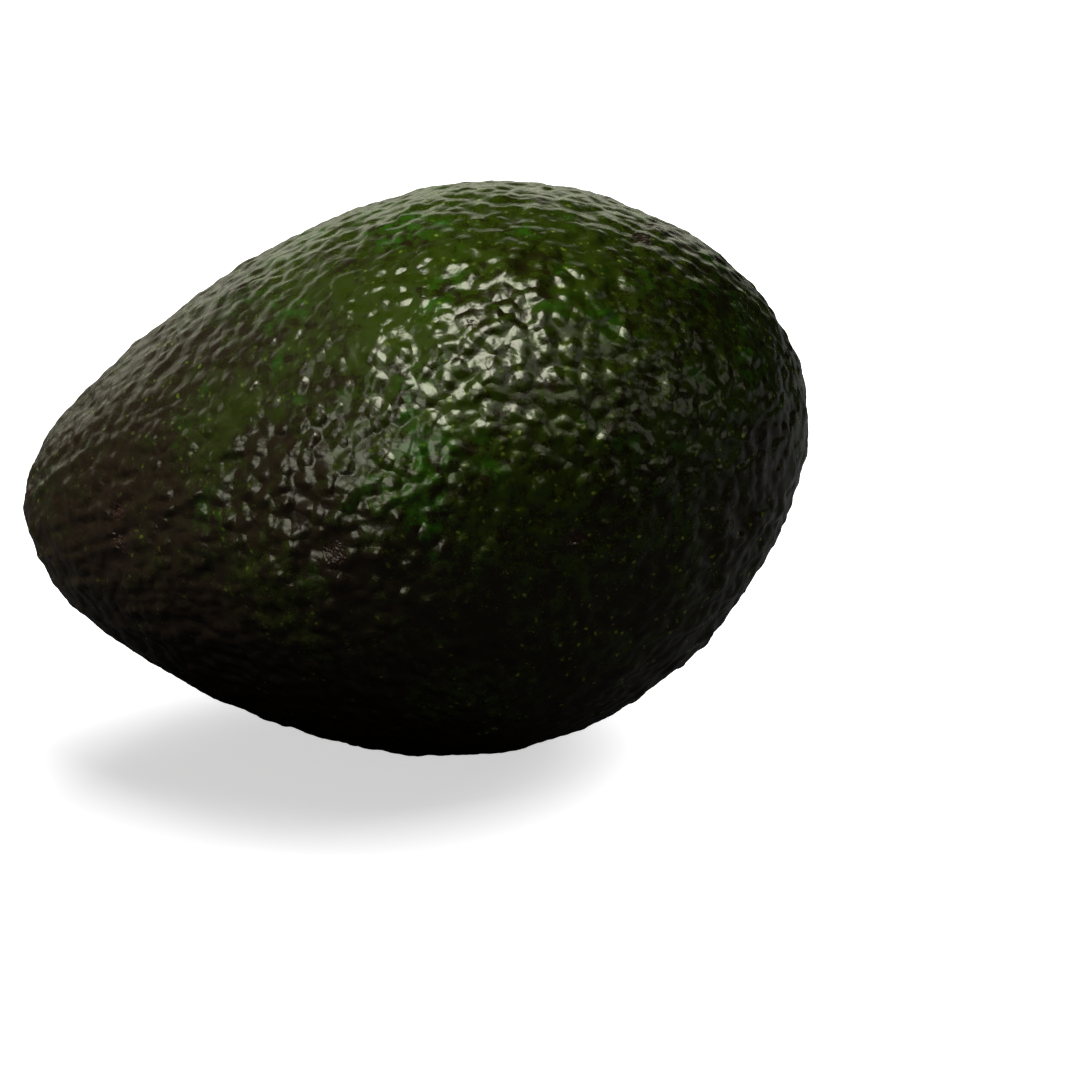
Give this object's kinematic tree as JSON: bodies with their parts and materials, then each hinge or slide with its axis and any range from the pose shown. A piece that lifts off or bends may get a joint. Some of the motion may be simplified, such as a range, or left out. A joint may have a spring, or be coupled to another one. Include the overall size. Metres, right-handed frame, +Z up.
{
  "type": "avocado",
  "caption": "Whole pear-shaped avocado with pebbled dark green skin, lying on its side, its dried stem button seated in a dimple at the narrow end.",
  "frame": {"origin": "middle of the small flat spot under the belly that the fruit rests on", "axes": "+X runs along the fruit from the narrow stem end to the broad end, which is tipped up 8 degrees; +Z is up from the surface; +Y is across the fruit"},
  "size_m": [0.0985, 0.071, 0.0712],
  "materials": {
    "skin": "waxy, pebbled, near-black green with brighter green patches",
    "dried_stem": "dry, matte and corky"
  },
  "bodies": {
    "root": {"fruit": "skin", "stem_button": "dried_stem"}
  },
  "joints": []
}
